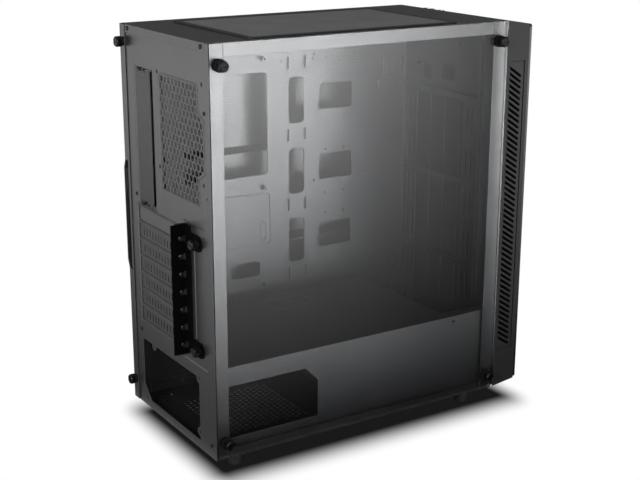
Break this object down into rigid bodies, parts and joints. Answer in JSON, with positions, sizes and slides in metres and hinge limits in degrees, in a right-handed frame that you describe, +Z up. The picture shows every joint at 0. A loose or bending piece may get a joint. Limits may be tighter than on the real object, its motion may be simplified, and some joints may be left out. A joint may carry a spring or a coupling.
{
  "type": "desktop computer case",
  "caption": "Empty mid-tower computer case: black folded-steel chassis, glass side held by thumbscrews, shrouded power-supply bay, slotted rear, vented front panel and roof filter.",
  "frame": {"origin": "on the standing surface, under the middle of the outer size", "axes": "+X towards the steel side, -X towards the glass side, -Y out of the front panel, +Y out of the rear, +Z up"},
  "size_m": [0.2264, 0.4454, 0.4785],
  "materials": {
    "black_steel": "black powder coat, fine texture",
    "perforated_steel": "grey powder coat",
    "tinted_glass": "clear tempered glass, lightly tinted, polished edges",
    "black_screw": "black oxide, semi-gloss, knurled",
    "zinc": "bright zinc plate",
    "guard_black": "satin black enamel",
    "rubber": "matt rubber",
    "black_plastic": "moulded, fine grain",
    "gloss_black": "polished, mirror-like",
    "filter_mesh": "woven filter mesh",
    "circuit_board": "solder mask",
    "light_pipe": "frosted light pipe",
    "button_metal": "spun aluminium"
  },
  "bodies": {
    "chassis": {"floor_pan": "black_steel", "rear_panel": "black_steel", "rear_fan_grille": "black_steel", "roof": "black_steel", "front_frame": "black_steel", "motherboard_tray": "black_steel", "psu_shroud": "black_steel", "shroud_cover": "perforated_steel", "slot_cover_plain": "black_steel", "slot_covers": "perforated_steel", "slot_screws": "zinc", "board_standoffs": "black_steel", "glass_nuts": "zinc", "chassis_screws": "black_screw", "drive_cage": "black_steel", "drive_trays": "black_plastic", "feet": "black_plastic", "foot_pads": "rubber", "psu_pads": "rubber", "psu_filter_rails": "black_plastic"},
    "glass_side": {"side_glass": "tinted_glass", "glass_grommets": "rubber"},
    "glass_screw_rear_top": {"glass_screw_rear_top": "black_screw"},
    "glass_screw_rear_bottom": {"glass_screw_rear_bottom": "black_screw"},
    "glass_screw_front_top": {"glass_screw_front_top": "black_screw"},
    "glass_screw_front_bottom": {"glass_screw_front_bottom": "black_screw"},
    "steel_side": {"right_panel": "black_steel"},
    "panel_screw_top": {"panel_screw_top": "black_screw"},
    "panel_screw_bottom": {"panel_screw_bottom": "black_screw"},
    "guard": {"slot_guard": "guard_black"},
    "guard_screw_top": {"guard_screw_top": "black_screw"},
    "guard_screw_bottom": {"guard_screw_bottom": "black_screw"},
    "roof_filter": {"roof_filter_rim": "black_plastic", "roof_filter_mesh": "filter_mesh"},
    "psu_filter": {"psu_filter_frame": "black_plastic", "psu_filter_mesh": "filter_mesh"},
    "front_panel": {"front_shell": "black_plastic", "front_face": "gloss_black", "vent_strip_left": "black_plastic", "vent_strip_right": "black_plastic", "front_filter": "black_plastic", "front_clips": "black_plastic", "usb_sockets": "zinc", "audio_sockets": "black_plastic", "io_board": "circuit_board", "power_light": "light_pipe"},
    "power_key": {"power_button": "button_metal"},
    "reset_key": {"reset_button": "button_metal"}
  },
  "joints": [
    {"name": "glass_side_off", "type": "slide", "parent": "chassis", "child": "glass_side", "axis": [-1, 0, 0], "range_m": [0, 0.25]},
    {"name": "glass_screw_rear_bottom_turn", "type": "hinge", "parent": "glass_side", "child": "glass_screw_rear_bottom", "pos_m": [-0.10415, 0.19065, 0.04], "axis": [-1, 0, 0], "continuous": true},
    {"name": "glass_screw_rear_top_turn", "type": "hinge", "parent": "glass_side", "child": "glass_screw_rear_top", "pos_m": [-0.10415, 0.19065, 0.454], "axis": [-1, 0, 0], "continuous": true},
    {"name": "glass_screw_front_bottom_turn", "type": "hinge", "parent": "glass_side", "child": "glass_screw_front_bottom", "pos_m": [-0.10415, -0.17435, 0.04], "axis": [-1, 0, 0], "continuous": true},
    {"name": "glass_screw_front_top_turn", "type": "hinge", "parent": "glass_side", "child": "glass_screw_front_top", "pos_m": [-0.10415, -0.17435, 0.454], "axis": [-1, 0, 0], "continuous": true},
    {"name": "steel_side_unhook", "type": "slide", "parent": "chassis", "child": "steel_side", "axis": [0, 1, 0], "range_m": [0, 0.018]},
    {"name": "panel_screw_bottom_turn", "type": "hinge", "parent": "steel_side", "child": "panel_screw_bottom", "pos_m": [0.10215, 0.20365, 0.048], "axis": [0, 1, 0], "continuous": true},
    {"name": "panel_screw_top_turn", "type": "hinge", "parent": "steel_side", "child": "panel_screw_top", "pos_m": [0.10215, 0.20365, 0.457], "axis": [0, 1, 0], "continuous": true},
    {"name": "guard_off", "type": "slide", "parent": "chassis", "child": "guard", "axis": [0, 1, 0], "range_m": [0, 0.04]},
    {"name": "guard_screw_bottom_turn", "type": "hinge", "parent": "guard", "child": "guard_screw_bottom", "pos_m": [-0.07125, 0.20365, 0.141], "axis": [0, 1, 0], "continuous": true},
    {"name": "guard_screw_top_turn", "type": "hinge", "parent": "guard", "child": "guard_screw_top", "pos_m": [-0.07125, 0.20365, 0.26224], "axis": [0, 1, 0], "continuous": true},
    {"name": "roof_filter_lift", "type": "slide", "parent": "chassis", "child": "roof_filter", "axis": [0, 0, 1], "range_m": [0, 0.06]},
    {"name": "psu_filter_slide", "type": "slide", "parent": "chassis", "child": "psu_filter", "axis": [0, 1, 0], "range_m": [0, 0.16]},
    {"name": "front_panel_pull", "type": "slide", "parent": "chassis", "child": "front_panel", "axis": [0, -1, 0], "range_m": [0, 0.06]},
    {"name": "power_press", "type": "slide", "parent": "front_panel", "child": "power_key", "axis": [0, 0.1376, -0.9905], "range_m": [0, 0.0015], "stiffness_N_per_m": 400, "springref_m": -0.001},
    {"name": "reset_press", "type": "slide", "parent": "front_panel", "child": "reset_key", "axis": [0, 0.1376, -0.9905], "range_m": [0, 0.0015], "stiffness_N_per_m": 400, "springref_m": -0.001}
  ]
}
